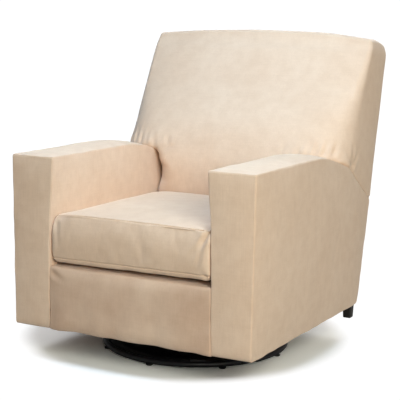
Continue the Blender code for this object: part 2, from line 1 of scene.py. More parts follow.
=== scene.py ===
"""Looks of the swivel glider club chair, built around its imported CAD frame.

Metres, +Z up, in the CAD's own frame: the chair faces -Y and is symmetric about X = 0. Every
upholstered piece is made the way it is sewn: a band that runs round it and a panel on each end,
inflated by a short cloth simulation that holds its seams.
"""
import json
import math

import bmesh
import bpy
import numpy as np
from mathutils import Matrix, Vector, noise


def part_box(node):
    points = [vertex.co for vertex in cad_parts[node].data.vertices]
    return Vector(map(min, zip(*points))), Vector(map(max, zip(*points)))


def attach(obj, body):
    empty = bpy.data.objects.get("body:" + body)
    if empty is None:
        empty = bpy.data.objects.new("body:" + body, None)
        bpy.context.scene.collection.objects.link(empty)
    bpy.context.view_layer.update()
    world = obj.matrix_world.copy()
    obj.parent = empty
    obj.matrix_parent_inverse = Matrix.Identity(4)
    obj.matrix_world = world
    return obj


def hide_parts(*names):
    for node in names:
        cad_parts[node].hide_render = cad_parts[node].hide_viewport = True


noise.seed_set(4)                  # without a seed the seams would wander another way in each run
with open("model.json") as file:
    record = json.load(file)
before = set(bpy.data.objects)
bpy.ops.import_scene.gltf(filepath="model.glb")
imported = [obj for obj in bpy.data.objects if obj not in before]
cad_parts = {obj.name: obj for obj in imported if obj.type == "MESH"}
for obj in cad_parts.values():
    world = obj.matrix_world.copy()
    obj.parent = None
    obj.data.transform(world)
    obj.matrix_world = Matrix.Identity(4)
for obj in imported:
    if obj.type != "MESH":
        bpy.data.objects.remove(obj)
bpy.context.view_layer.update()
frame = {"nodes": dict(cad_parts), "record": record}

# ---- places read from the frame ----
ARM_LOW, ARM_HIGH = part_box("arm_right")
CUSHION_LOW, CUSHION_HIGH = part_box("seat_cushion")
COVER_LOW, COVER_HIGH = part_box("front_cover")
DECK_LOW, DECK_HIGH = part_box("deck_pad")
REAR_LOW, REAR_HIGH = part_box("outside_back")
BACK_LOW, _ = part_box("back_cushion")
RING_LOW, RING_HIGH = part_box("base_ring")
PAN_LOW, PAN_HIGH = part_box("base_pan")
WOOD_LOW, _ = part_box("side_panel_right")

HALF = ARM_HIGH.x
FRONT = ARM_LOW.y
BOTTOM = ARM_LOW.z
ARM_TOP = ARM_HIGH.z
AXIS_Y = (RING_LOW.y + RING_HIGH.y) / 2
SKIN = 0.005                       # thickness of the outside back's panel
REAR_FOOT = REAR_LOW.y + SKIN      # outside back at the body's bottom edge
REAR_SLOPE = (REAR_HIGH.y - REAR_FOOT) / (REAR_HIGH.z - REAR_LOW.z)
ARM_REAR_TOP = 0.456               # height where the arm's seam meets the outside back
SLOPE_START, SLOPE_END = (-0.013, ARM_TOP), (0.184, 0.591)   # (y, z) where the arm top falls
FLARE = 0.006                      # how much the outer sides lean out towards the arm tops

REAR_TAPER = 0.007                 # how much thinner an arm gets beside the back
STEP = 0.011                       # side of a cloth quad before it is subdivided
SEAM_WANDER = 0.0016               # how far a seam strays from its line
CUSHION_FORWARD = 0.010            # the soft front of the cushion comes nearly level with the arms

# Light, as red, green and blue
SKY = (0.12, 0.12, 0.12)
CEILING = (0.40, 0.40, 0.40)
SOFTBOX = (9.8, 14.6, 19.6)
FRONT_LAMP = (155.0, 157.0, 138.0)
REAR_LAMP = (115.0, 115.0, 115.0)
FLOOR_BOUNCE = (0.40, 0.38, 0.36)
FLOOR_SEEN = (1.2, 1.2, 1.2)
FLOOR_SPOT, FLOOR_FADE = (-0.09, 0.01, 0.0), (0.49, 0.58)   # round this place the floor turns plain white
PLAIN_WHITE = 1.05

# Camera: to the right of the chair's front, a little above the seat
CAMERA_PLACE = (1.8170, -3.3904, 1.0812)
CAMERA_ANGLES = (-28.611, -9.051, 0.834)   # yaw, pitch and roll in degrees
LENS, SENSOR = 105.66, 36.0


def rear_y(z):
    """The leaning outside back, at a height."""
    return REAR_FOOT + REAR_SLOPE * (z - BOTTOM)


ARM_SEAM_END = (rear_y(ARM_REAR_TOP) - SKIN, ARM_REAR_TOP)   # (y, z) of an arm's upper rear corner


def outer_x(z):
    """The body's outer face at a height."""
    return HALF - FLARE * np.clip(1 - (z - BOTTOM) / (ARM_TOP - BOTTOM), 0, 1)


def smoothstep(low, high, value):
    t = np.clip((value - low) / (high - low), 0, 1)
    return t * t * (3 - 2 * t)


# ---- paths and panels ----
def resample(path, count, per_turn=0.0):
    """Even points along a path, count + 1 of them; a radian of turning counts as per_turn of length."""
    path = np.asarray(path, float)
    steps = np.diff(path, axis=0)
    lengths = np.linalg.norm(steps, axis=1)
    if per_turn:
        ways = steps / np.maximum(lengths, 1e-9)[:, None]
        turns = np.arccos(np.clip((ways[1:] * ways[:-1]).sum(axis=1), -1, 1))
        lengths[1:] += per_turn * turns / 2
        lengths[:-1] += per_turn * turns / 2
    along = np.concatenate([[0], np.cumsum(lengths)])
    wanted = np.linspace(0, along[-1], count + 1)
    return np.stack([np.interp(wanted, along, path[:, axis]) for axis in range(path.shape[1])], axis=1)


def rounded(points, cuts, steps=8):
    """The path with each inner corner replaced by a curve that starts cuts[i] before it."""
    made = [np.asarray(points[0], float)]
    for before, corner, after, cut in zip(points, points[1:], points[2:], cuts):
        before, corner, after = (np.asarray(p, float) for p in (before, corner, after))
        start = corner + (before - corner) * (cut / np.linalg.norm(before - corner))
        end = corner + (after - corner) * (cut / np.linalg.norm(after - corner))
        for t in np.linspace(0, 1, steps):
            made.append((1 - t) ** 2 * start + 2 * t * (1 - t) * corner + t * t * end)
    made.append(np.asarray(points[-1], float))
    return np.array(made)


def four_sides(corners, cuts, counts, bends=None):
    """A closed outline as four sampled sides that meet in the middle of its rounded corners.

    bends maps a side's number to (points, cuts) of the corners along that side.
    """
    bends = bends or {}
    walk, walk_cuts = [], []
    for i, corner in enumerate(corners):
        walk.append(corner)
        walk_cuts.append(cuts[i])
        points, more = bends.get(i, ((), ()))
        walk.extend(points)
        walk_cuts.extend(more)
    total = len(walk)
    curve_steps = 9
    middle = curve_steps // 2
    sides, position = [], 0
    for i in range(4):
        span = 1 + len(bends.get(i, ((), ()))[0])
        chain = [walk[(position + k) % total] for k in range(-1, span + 2)]
        chain_cuts = [walk_cuts[(position + k) % total] for k in range(0, span + 1)]
        curve = rounded(chain, chain_cuts, curve_steps)
        sides.append(resample(curve[1 + middle:len(curve) - 1 - middle], counts[i % 2], 0.010))
        position += span
    return sides


def closed_loop(sides):
    """The points round all four sides, each corner once."""
    return np.concatenate([side[:-1] for side in sides])


def coons(sides):
    """A grid of points that fills four sides, given in order round the panel."""
    bottom, right, top, left = sides[0], sides[1], sides[2][::-1], sides[3][::-1]
    u = np.linspace(0, 1, len(bottom))[:, None, None]
    v = np.linspace(0, 1, len(right))[None, :, None]
    between_v = (1 - v) * bottom[:, None, :] + v * top[:, None, :]
    between_u = (1 - u) * left[None, :, :] + u * right[None, :, :]
    flat = ((1 - u) * (1 - v) * bottom[0] + u * (1 - v) * bottom[-1]
            + (1 - u) * v * top[0] + u * v * top[-1])
    return between_v + between_u - flat


def closed_mesh(name, points, faces):
    """A new object whose faces all point outwards."""
    mesh = bpy.data.meshes.new(name)
    mesh.from_pydata(points, [], faces)
    bm = bmesh.new()
    bm.from_mesh(mesh)
    bmesh.ops.recalc_face_normals(bm, faces=bm.faces)
    bm.to_mesh(mesh)
    bm.free()
    obj = bpy.data.objects.new(name, mesh)
    bpy.context.scene.collection.objects.link(obj)
    return obj


class Sewn:
    """Mesh data of a band with a panel on each end, and the edges that are its seams."""

    def __init__(self, loops, nu, nv, seam_corners=(), seam_loops=(0, -1), bulges=(None, None)):
        self.loops = np.asarray(loops, float)
        self.nu, self.nv = nu, nv
        rows, around = self.loops.shape[:2]
        self.points = [*self.loops.reshape(-1, 3)]
        self.faces = []
        for i in range(rows - 1):
            for j in range(around):
                k = (j + 1) % around
                low, high = i * around, (i + 1) * around
                self.faces.append((low + j, low + k, high + k, high + j))
        for row, bulge in zip((0, rows - 1), bulges):
            self.add_panel(row * around, self.loops[row], bulge)
        self.seams = []
        for row in seam_loops:
            base = (row % rows) * around
            self.seams += [(base + j, base + (j + 1) % around) for j in range(around)]
        corner_places = (0, nu, nu + nv, 2 * nu + nv)
        for corner in seam_corners:
            place = corner_places[corner]
            self.seams += [(i * around + place, (i + 1) * around + place) for i in range(rows - 1)]

    def add_panel(self, base, loop, bulge):
        nu, nv = self.nu, self.nv
        closed = np.concatenate([loop, loop[:1]])
        grid = coons([closed[:nu + 1], closed[nu:nu + nv + 1], closed[nu + nv:2 * nu + nv + 1],
                      closed[2 * nu + nv:]])
        if bulge is not None:
            across = 1 - np.linspace(-1, 1, nu + 1) ** 2
            along = 1 - np.linspace(-1, 1, nv + 1) ** 2
            grid = grid + across[:, None, None] * along[None, :, None] * np.asarray(bulge, float)
        index = np.zeros((nu + 1, nv + 1), int)
        index[:, 0] = base + np.arange(nu + 1)
        index[nu, :] = base + nu + np.arange(nv + 1)
        index[:, nv] = base + nu + nv + np.arange(nu + 1)[::-1]
        index[0, 1:] = (base + 2 * nu + nv + np.arange(nv + 1)[::-1])[1:]
        for i in range(1, nu):
            for j in range(1, nv):
                index[i, j] = len(self.points)
                self.points.append(grid[i, j])
        for i in range(nu):
            for j in range(nv):
                corners = (index[i, j], index[i + 1, j], index[i + 1, j + 1], index[i, j + 1])
                self.faces.append(tuple(int(corner) for corner in corners))

    def make(self, name):
        return closed_mesh(name, [tuple(p) for p in self.points], self.faces)

    def pins(self, strength=1.0):
        """How firmly the cloth is held at each point of a seam."""
        return {v: strength for edge in self.seams for v in edge}


def coordinates(mesh):
    flat = np.zeros(len(mesh.vertices) * 3, np.float32)
    mesh.vertices.foreach_get("co", flat)
    return flat.reshape(-1, 3).astype(float)


def set_coordinates(mesh, points):
    mesh.vertices.foreach_set("co", points.astype(np.float32).ravel())
    mesh.update()


def vertex_normals(mesh):
    flat = np.zeros(len(mesh.vertices) * 3, np.float32)
    mesh.vertex_normals.foreach_get("vector", flat)
    return flat.reshape(-1, 3).astype(float)


# ---- cloth ----
def inflate(obj, pins, pressure=4.0, grow=0.0, limit=0.02, frames=20):
    """Cloth simulation of a closed piece; pins maps vertex numbers to how firmly they are held."""
    rest = coordinates(obj.data)
    group = obj.vertex_groups.new(name="pins")
    for strength in sorted(set(pins.values())):
        group.add([v for v, s in pins.items() if s == strength], strength, "REPLACE")
    cloth = obj.modifiers.new("cloth", "CLOTH")
    settings = cloth.settings
    settings.quality = 6
    settings.mass = 0.2
    settings.tension_stiffness = 25
    settings.compression_stiffness = 25
    settings.shear_stiffness = 8
    settings.bending_stiffness = 0.6
    settings.air_damping = 2
    settings.use_pressure = True
    settings.uniform_pressure_force = pressure
    settings.effector_weights.gravity = 0
    settings.shrink_min = -grow
    settings.vertex_group_mass = "pins"
    settings.pin_stiffness = 1.0
    cloth.collision_settings.use_collision = False
    cloth.collision_settings.use_self_collision = False
    cloth.point_cache.frame_start = 1
    cloth.point_cache.frame_end = frames
    scene = bpy.context.scene
    for number in range(1, frames + 1):
        scene.frame_set(number)
    evaluated = obj.evaluated_get(bpy.context.evaluated_depsgraph_get())
    moved = coordinates(evaluated.data) - rest
    obj.modifiers.remove(cloth)
    obj.vertex_groups.clear()
    scene.frame_set(1)
    distance = np.linalg.norm(moved, axis=1, keepdims=True)
    print("cloth", obj.name, "largest move", round(float(distance.max()), 4))
    kept = limit * np.tanh(distance / limit) / np.maximum(distance, 1e-9)
    set_coordinates(obj.data, rest + moved * kept)


def sew(obj, seams, width, depth):
    """Round the edges along the seams and sink a narrow crease between them; the line wanders a little."""
    bm = bmesh.new()
    bm.from_mesh(obj.data)
    bm.verts.ensure_lookup_table()
    edges = [bm.edges.get((bm.verts[a], bm.verts[b])) for a, b in seams]
    seam_verts = {vert for edge in edges for vert in edge.verts}
    for vert in seam_verts:
        vert.co += SEAM_WANDER * noise.noise_vector(vert.co / 0.045)
    made = bmesh.ops.bevel(bm, geom=edges, offset=width, segments=4, profile=0.5, affect="EDGES")
    bm.normal_update()
    strip = set(made["faces"])
    inner = {vert for vert in made["verts"] if all(face in strip for face in vert.link_faces)}
    for vert in inner:
        neighbours = [edge.other_vert(vert) for edge in vert.link_edges]
        if all(other in inner for other in neighbours):
            vert.co -= vert.normal * depth
    bm.to_mesh(obj.data)
    bm.free()


def subdivide(obj, levels=1):
    refine = obj.modifiers.new("fine surface", "SUBSURF")
    refine.levels = levels
    refine.render_levels = levels
    graph = bpy.context.evaluated_depsgraph_get()
    mesh = bpy.data.meshes.new_from_object(obj.evaluated_get(graph))
    obj.modifiers.remove(refine)
    obj.data = mesh
    mesh.shade_smooth()


def soft_noise(points, size, seed):
    """A smooth value from -1 to 1 at each point; size is the distance over which it changes."""
    shift = Vector((seed * 7.3, seed * 3.1, seed * 5.7))
    return np.array([noise.noise(Vector(p) / size + shift) for p in points])


def press(obj, amount):
    """Move every point along its normal by amount, which is a number for each point."""
    points, normals = coordinates(obj.data), vertex_normals(obj.data)
    set_coordinates(obj.data, points + normals * np.asarray(amount)[:, None])


def fold(points, start, end, width, depth):
    """Depth of one tucked fold from start to end: a valley with a low ridge on each side."""
    start, end = np.asarray(start, float), np.asarray(end, float)
    along = end - start
    t = ((points - start) @ along) / (along @ along)
    distance = np.linalg.norm(points - (start + t[:, None] * along), axis=1)
    fade = smoothstep(-0.05, 0.15, t) * np.clip(1 - t, 0, 1) ** 1.3
    valley = np.exp(-(distance / width) ** 2)
    ridges = np.exp(-((distance - 2.2 * width) / (1.1 * width)) ** 2)
    return depth * fade * (0.45 * ridges - valley)


def folds(points, start, ends, width, depth):
    """Folds that fan out from one place, which together go no deeper than one of them."""
    made = [fold(points, start, end, width, depth) for end in ends]
    return np.min(made, axis=0) + np.clip(np.max(made, axis=0), 0, None)


# ---- materials ----
def new_material(name, roughness, metallic=0.0):
    made = bpy.data.materials.new(name)
    made.use_nodes = True
    shader = made.node_tree.nodes["Principled BSDF"]
    shader.inputs["Metallic"].default_value = metallic
    shader.inputs["Roughness"].default_value = roughness
    return made, made.node_tree, shader


def add_node(tree, kind, **values):
    made = tree.nodes.new(kind)
    for key, value in values.items():
        made.inputs[key.replace("_", " ")].default_value = value
    return made


def object_noise(tree, scale, detail=3.0, roughness=0.5, stretch=(1, 1, 1)):
    """Noise in the piece's own metres, so that it has no seams and needs no UVs."""
    place = tree.nodes.new("ShaderNodeTexCoord")
    mapping = tree.nodes.new("ShaderNodeMapping")
    mapping.inputs["Scale"].default_value = stretch
    tree.links.new(place.outputs["Object"], mapping.inputs["Vector"])
    made = add_node(tree, "ShaderNodeTexNoise", Scale=scale, Detail=detail, Roughness=roughness)
    tree.links.new(mapping.outputs["Vector"], made.inputs["Vector"])
    return made.outputs["Fac"]


def ramp(tree, value, stops):
    """Colour ramp over a value; stops are (position, linear colour)."""
    made = tree.nodes.new("ShaderNodeValToRGB")
    elements = made.color_ramp.elements
    while len(elements) < len(stops):
        elements.new(0.5)
    for element, (position, colour) in zip(elements, stops):
        element.position = position
        element.color = (*colour, 1.0)
    tree.links.new(value, made.inputs["Fac"])
    return made.outputs["Color"]


def mixed(tree, kind, factor, one, other):
    made = tree.nodes.new("ShaderNodeMix")
    made.data_type = "RGBA"
    made.blend_type = kind
    made.inputs["Factor"].default_value = factor
    tree.links.new(one, made.inputs["A"])
    tree.links.new(other, made.inputs["B"])
    return made.outputs["Result"]


def bump(tree, shader, heights, distance, strength=1.0):
    """Chain of bumps, coarse first; heights are (value, share of the distance)."""
    last = None
    for value, share in heights:
        made = add_node(tree, "ShaderNodeBump", Strength=strength, Distance=distance * share)
        tree.links.new(value, made.inputs["Height"])
        if last is not None:
            tree.links.new(last, made.inputs["Normal"])
        last = made.outputs["Normal"]
    tree.links.new(last, shader.inputs["Normal"])


def suede(name, light, dark, sheen=0.40, patch=4.5):
    """Brushed microsuede: soft patches of nap over a faint slubbed weave and a fine grain."""
    made, tree, shader = new_material(name, 0.92)
    shader.inputs["Sheen Weight"].default_value = sheen
    shader.inputs["Sheen Roughness"].default_value = 0.45
    shader.inputs["Sheen Tint"].default_value = (1.0, 0.95, 0.90, 1.0)
    shader.inputs["Specular IOR Level"].default_value = 0.15
    patches = object_noise(tree, patch, 3.0, 0.5)
    mottle = object_noise(tree, 26.0, 5.0, 0.60)
    upright = object_noise(tree, 330.0, 2.0, 0.6, (1.0, 1.0, 0.05))
    across = object_noise(tree, 330.0, 2.0, 0.6, (0.05, 0.05, 1.0))
    grain = object_noise(tree, 900.0, 2.0, 0.7)
    middle = [(a + b) / 2 for a, b in zip(light, dark)]
    colour = ramp(tree, patches, [(0.32, dark), (0.50, middle), (0.66, light)])
    for value, low in ((mottle, (0.955, 0.935, 0.92)), (upright, (0.965, 0.96, 0.955)),
                       (across, (0.98, 0.975, 0.97)), (grain, (0.94, 0.935, 0.93))):
        tone = ramp(tree, value, [(0.36, low), (0.62, (1.0, 1.0, 1.0))])
        colour = mixed(tree, "MULTIPLY", 1.0, colour, tone)
    tree.links.new(colour, shader.inputs["Base Color"])
    bump(tree, shader, [(mottle, 1.0), (upright, 0.15), (across, 0.15), (grain, 0.2)], 0.0007, 0.6)
    return made


def woven(name, light, dark):
    """Plain deck cloth: crossed threads."""
    made, tree, shader = new_material(name, 0.95)
    warp = object_noise(tree, 260.0, 1.0, 0.4, (1.0, 0.06, 1.0))
    weft = object_noise(tree, 260.0, 1.0, 0.4, (0.06, 1.0, 1.0))
    threads = mixed(tree, "MULTIPLY", 1.0, ramp(tree, warp, [(0.35, dark), (0.65, light)]),
                    ramp(tree, weft, [(0.35, (0.8, 0.8, 0.8)), (0.65, (1.0, 1.0, 1.0))]))
    tree.links.new(threads, shader.inputs["Base Color"])
    bump(tree, shader, [(warp, 1.0), (weft, 1.0)], 0.0004)
    return made


def speckled_solid(name, colour, roughness, metallic=0.0, scale=350.0, depth=0.00008, spread=0.35):
    """Painted, plated or moulded surface: a fine texture, and roughness and colour that vary a little."""
    made, tree, shader = new_material(name, roughness, metallic)
    wide = object_noise(tree, 14.0, 4.0, 0.6)
    fine = object_noise(tree, scale, 2.0, 0.6)
    darker = tuple(c * (1 - spread) for c in colour)
    tint = ramp(tree, wide, [(0.3, darker), (0.7, colour)])
    tree.links.new(tint, shader.inputs["Base Color"])
    rough = ramp(tree, wide, [(0.3, (roughness * 1.25,) * 3), (0.7, (roughness * 0.85,) * 3)])
    tree.links.new(rough, shader.inputs["Roughness"])
    bump(tree, shader, [(fine, 1.0)], depth)
    return made


def sawn_wood(name):
    """Plain frame timber with grain along Y and Z and darker growth lines."""
    made, tree, shader = new_material(name, 0.7)
    rings = object_noise(tree, 22.0, 3.0, 0.55, (3.0, 0.5, 0.35))
    pores = object_noise(tree, 420.0, 2.0, 0.5, (1.0, 0.08, 0.08))
    base = ramp(tree, rings, [(0.30, (0.30, 0.17, 0.075)), (0.48, (0.48, 0.30, 0.15)),
                              (0.56, (0.38, 0.22, 0.10)), (0.72, (0.58, 0.39, 0.21))])
    fine = ramp(tree, pores, [(0.35, (0.75, 0.70, 0.65)), (0.55, (1.0, 1.0, 1.0))])
    tree.links.new(mixed(tree, "MULTIPLY", 1.0, base, fine), shader.inputs["Base Color"])
    bump(tree, shader, [(pores, 1.0)], 0.0004)
    return made


CREAM = suede("cream_suede", (0.820, 0.620, 0.475), (0.785, 0.580, 0.435))
# a darker copy of the cream suede: painted shade for the front cover, which lies below the cushion's
# overhang
CREAM_PAINTED_SHADE = suede("cream_suede_painted_shade", (0.790, 0.590, 0.450), (0.650, 0.450, 0.330), patch=6.0)
DECK_CLOTH = woven("deck_weave", (0.62, 0.50, 0.37), (0.50, 0.39, 0.28))
BLACK_STEEL = speckled_solid("black_powder_coat", (0.014, 0.0145, 0.018), 0.30)
ZINC = speckled_solid("zinc_plate", (0.60, 0.61, 0.62), 0.30, 1.0, spread=0.2)
NYLON = speckled_solid("black_nylon", (0.020, 0.020, 0.022), 0.45)
RUBBER = speckled_solid("black_rubber", (0.022, 0.021, 0.020), 0.85, scale=180.0)
FOOT_PLASTIC = speckled_solid("foot_plastic", (0.016, 0.014, 0.012), 0.42)
WOOD = sawn_wood("frame_wood")


def paint(obj, material):
    obj.data.materials.clear()
    obj.data.materials.append(material)


def dress(obj, material, slot, body, *nodes, fill=None):
    """Give a finished piece its material, its body and the CAD nodes that it stands for."""
    paint(obj, material)
    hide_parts(*nodes)
    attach(obj, body)


# ---- arms ----
def arm_inner_x(z):
    """Face towards the seat: the arm is fuller at its top."""
    return np.interp(z, [BOTTOM, 0.33, 0.46, 0.60, ARM_TOP], [0.284, 0.282, 0.279, 0.269, 0.267])


def arm_outline(counts):
    """Side view (y, z) of an arm as bottom, rear, top and front."""
    corners = [(FRONT, BOTTOM), (REAR_FOOT - SKIN, BOTTOM), ARM_SEAM_END, (FRONT, ARM_TOP)]
    bends = {2: ((SLOPE_END, SLOPE_START), (0.030, 0.090))}
    return four_sides(corners, (0.012, 0.014, 0.006, 0.004), counts, bends)


def arm_top_z(y):
    """Height of the arm's top edge along its outline."""
    return np.interp(y, *zip(SLOPE_START, SLOPE_END, ARM_SEAM_END))


def arm(name, side):
    nu, nv, across = 88, 44, 13
    outline = closed_loop(arm_outline((nu, nv)))
    y, z = outline[:, 0], outline[:, 1]
    loops = []
    for t in np.linspace(0, 1, across + 1):
        inner = arm_inner_x(z) + REAR_TAPER * smoothstep(0.0, 0.09, y) * smoothstep(0.40, 0.45, z)
        x = inner * (1 - t) + outer_x(z) * t
        loops.append(np.stack([side * x, y, z], axis=1))
    sewn = Sewn(loops, nu, nv, seam_corners=(3,))
    obj = sewn.make(name + "_cover")
    inflate(obj, sewn.pins(), pressure=3.0, limit=0.010)
    sew(obj, sewn.seams, width=0.0022, depth=0.0028)
    subdivide(obj)
    puff_top(obj, side)
    points = coordinates(obj.data)
    press(obj, 0.0013 * soft_noise(points, 0.11, 1.0 + side) + 0.0006 * soft_noise(points, 0.035, 2.0))
    make_room_for_links(obj, side)
    dress(obj, CREAM, "cover", "chair_body", name, fill=0.9)
    return obj


def puff_top(obj, side):
    """The padding stands up along the top's middle, most of all where it starts to slope down."""
    points = coordinates(obj.data)
    middle = (arm_inner_x(ARM_TOP) + HALF) / 2
    across = np.clip(1 - ((side * points[:, 0] - middle) / (HALF - middle)) ** 2, 0, 1)
    near_top = smoothstep(0.03, 0.0, arm_top_z(points[:, 1]) - points[:, 2])
    along = 0.35 + 0.65 * smoothstep(-0.45, -0.12, points[:, 1]) * smoothstep(0.30, 0.05, points[:, 1])
    points[:, 2] += 0.009 * across * near_top * along * smoothstep(FRONT, FRONT + 0.04, points[:, 1])
    set_coordinates(obj.data, points)


def make_room_for_links(obj, side):
    """Below the deck an arm's inner face steps back, out of the way of the links and seat rails."""
    points = coordinates(obj.data)
    inside = side * points[:, 0]
    room = WOOD_LOW.x + 0.0012
    step = smoothstep(DECK_LOW.z + 0.012, DECK_LOW.z + 0.003, points[:, 2])
    behind_cover = smoothstep(COVER_LOW.y + 0.020, COVER_LOW.y + 0.028, points[:, 1])
    moved = inside + np.clip(room - inside, 0, None) * step * behind_cover
    points[:, 0] = side * moved
    set_coordinates(obj.data, points)


# ---- seat cushion ----
def seat_cushion():
    low, high = CUSHION_LOW, CUSHION_HIGH
    seam_top, crown, lift = 0.461, 0.010, 0.003
    nu, nv, rows = 56, 56, 15
    half = high.x + 0.005              # its sides press a little against the arms
    corners = [(-half, low.y), (half, low.y), (half, high.y), (-half, high.y)]
    outline = closed_loop(four_sides(corners, (0.009, 0.007, 0.030, 0.030), (nu, nv)))
    at_front = smoothstep(low.y + 0.09, low.y + 0.02, outline[:, 1])
    front_left = smoothstep(-0.20, -0.275, outline[:, 0]) * at_front
    foot = low.z + lift + at_front * (0.008 + 0.005 * smoothstep(-0.2, half, outline[:, 0]))
    loops = []
    for t in (1 - np.cos(np.linspace(0, math.pi, rows + 1))) / 2:
        bottom_turn = 0.008 * (1 - np.clip(t / 0.10, 0, 1)) ** 2
        top_turn = 0.004 * (1 - np.clip((1 - t) / 0.12, 0, 1)) ** 2
        middle = np.array([0.0, (low.y + high.y) / 2])
        inward = (middle - outline) / np.abs(middle - outline).max(axis=1)[:, None]
        loop = outline + inward * (bottom_turn + top_turn)
        loop[:, 1] += front_left * 0.012 * t ** 8 - CUSHION_FORWARD * at_front
        loop[:, 1] -= 0.006 * smoothstep(low.y + 0.03, low.y, outline[:, 1]) * (1 - (2 * t - 1) ** 2)
        top = seam_top + 0.010 * smoothstep(-0.275, -0.19, outline[:, 0])
        loops.append(np.column_stack([loop, foot + t * (top - foot)]))
    sewn = Sewn(loops, nu, nv, seam_loops=(3, -1), bulges=(None, (0, 0, crown)))
    obj = sewn.make("seat_cushion_cover")
    floor_pins = {v: 1.0 for v, p in enumerate(sewn.points) if p[2] < low.z + 0.017}
    corner_pins = {v: 1.0 for v, p in enumerate(sewn.points) if p[1] < low.y and abs(p[0]) > half - 0.012}
    inflate(obj, {**floor_pins, **sewn.pins(0.9), **corner_pins}, pressure=4.0, grow=0.004, limit=0.007)
    sew(obj, sewn.seams, width=0.0050, depth=0.0050)
    subdivide(obj)
    points = coordinates(obj.data)
    front, right = low.y - CUSHION_FORWARD - 0.003, high.x
    boxed = points.copy()          # the bulging front laid flat, to draw its folds on
    boxed[:, 1] = np.where(points[:, 1] < front + 0.020, front, points[:, 1])
    tucks = fold(points, (right, front + 0.01, 0.470), (right - 0.085, front + 0.06, 0.476), 0.0090, 0.0045)
    for start, end, width, depth in (
            ((right + 0.002, 0.466), (right - 0.060, 0.380), 0.0070, 0.0070),
            ((right - 0.008, 0.462), (right - 0.042, 0.330), 0.0065, 0.0050),
            ((right - 0.002, 0.333), (right - 0.030, 0.352), 0.0060, 0.0045),
            ((-right, 0.335), (0.060 - right, 0.365), 0.0080, 0.0030),
            ((0.008 - right, 0.450), (0.030 - right, 0.350), 0.0080, 0.0035)):
        tucks += fold(boxed, (start[0], front, start[1]), (end[0], front, end[1]), width, depth)
    press(obj, tucks + 0.0018 * soft_noise(points, 0.09, 5.0) + 0.0008 * soft_noise(points, 0.035, 6.0))
    keep_above(obj, DECK_HIGH.z + 0.001)
    dress(obj, CREAM, "cover", "seat_cushion", "seat_cushion", fill=0.8)
    return obj


def keep_above(obj, height):
    points = coordinates(obj.data)
    points[:, 2] = np.maximum(points[:, 2], height)
    set_coordinates(obj.data, points)


# ---- front cover, deck and outside back ----
def front_cover():
    thick, turn, over = 0.024, 0.010, COVER_HIGH.y
    low, high = COVER_LOW.z, COVER_HIGH.z
    nu, nv, across = 3, 24, 52
    face = [(FRONT, low), (FRONT + thick, low), (over, high - turn), (over, high)]
    bends = {1: (((FRONT + thick, high - turn),), (0.003,)), 3: (((FRONT, high),), (0.008,))}
    outline = closed_loop(four_sides(face, (0.005, 0.002, 0.002, 0.002), (nu, nv), bends))
    loops = []
    for t in np.linspace(-1, 1, across + 1):
        half = arm_inner_x(outline[:, 1]) - 0.0005
        loops.append(np.stack([t * half, outline[:, 0], outline[:, 1]], axis=1))
    sewn = Sewn(loops, nu, nv)
    obj = sewn.make("front_cover_cloth")
    pins = sewn.pins()
    pins.update({v: 1.0 for v, p in enumerate(sewn.points) if p[1] > FRONT + 0.004})
    inflate(obj, pins, pressure=2.0, limit=0.006)
    sew(obj, sewn.seams, width=0.0025, depth=0.0025)
    subdivide(obj)
    points = coordinates(obj.data)
    ripples = 0.0016 * np.sin(points[:, 0] / 0.021 + 2.0 * soft_noise(points, 0.10, 8.5))
    ripples *= smoothstep(high - 0.01, low, points[:, 2]) * smoothstep(over, FRONT + 0.01, points[:, 1])
    y_fold = fold(points, (-0.276, FRONT, high - 0.018), (-0.215, FRONT, high - 0.045), 0.0080, 0.0060)
    press(obj, 0.0014 * soft_noise(points, 0.08, 8.0) + ripples + y_fold)
    # the front cover wears the darker copy of the suede, painted shade for where it sits under the cushion
    dress(obj, CREAM_PAINTED_SHADE, "cover", "chair_body", "front_cover", fill=0.9)
    return obj


def deck():
    nu, nv = 26, 32
    corners = [(DECK_LOW.x, DECK_LOW.y), (DECK_HIGH.x, DECK_LOW.y), (DECK_HIGH.x, DECK_HIGH.y),
               (DECK_LOW.x, DECK_HIGH.y)]
    outline = closed_loop(four_sides(corners, (0.004,) * 4, (nu, nv)))
    loops = [np.column_stack([outline, np.full(len(outline), z)])
             for z in np.linspace(DECK_LOW.z, DECK_HIGH.z - 0.002, 3)]
    sewn = Sewn(loops, nu, nv)
    obj = sewn.make("deck_cloth")
    subdivide(obj)
    dress(obj, DECK_CLOTH, "deck_cloth", "chair_body", "deck_pad", fill=0.7)
    return obj


def outside_back():
    nu, nv = 40, 44
    low, high = REAR_LOW.z, REAR_HIGH.z
    inset = 0.004
    half_low, half_high = float(outer_x(low)) - inset, float(outer_x(high)) - inset
    corners = [(-half_low, low), (half_low, low), (half_high, high), (-half_high, high)]
    bends = {1: (((float(outer_x(ARM_TOP)) - inset, ARM_TOP),), (0.02,)),
             3: (((inset - float(outer_x(ARM_TOP)), ARM_TOP),), (0.02,))}
    outline = closed_loop(four_sides(corners, (0.012,) * 4, (nu, nv), bends))
    loops = []
    for depth in (-SKIN + 0.0002, -0.002, 0.0):
        loops.append(np.stack([outline[:, 0], rear_y(outline[:, 1]) + depth, outline[:, 1]], axis=1))
    sewn = Sewn(loops, nu, nv, seam_loops=(-1,))
    obj = sewn.make("outside_back_cloth")
    pins = sewn.pins()
    pins.update({v: 1.0 for v, p in enumerate(sewn.points) if p[1] < rear_y(p[2]) - 0.001})
    inflate(obj, pins, pressure=2.0, limit=0.006)
    sew(obj, sewn.seams, width=0.0025, depth=0.0025)
    subdivide(obj)
    points = coordinates(obj.data)
    press(obj, 0.0010 * soft_noise(points, 0.12, 9.0))
    dress(obj, CREAM, "cover", "chair_body", "outside_back", fill=0.9)
    return obj


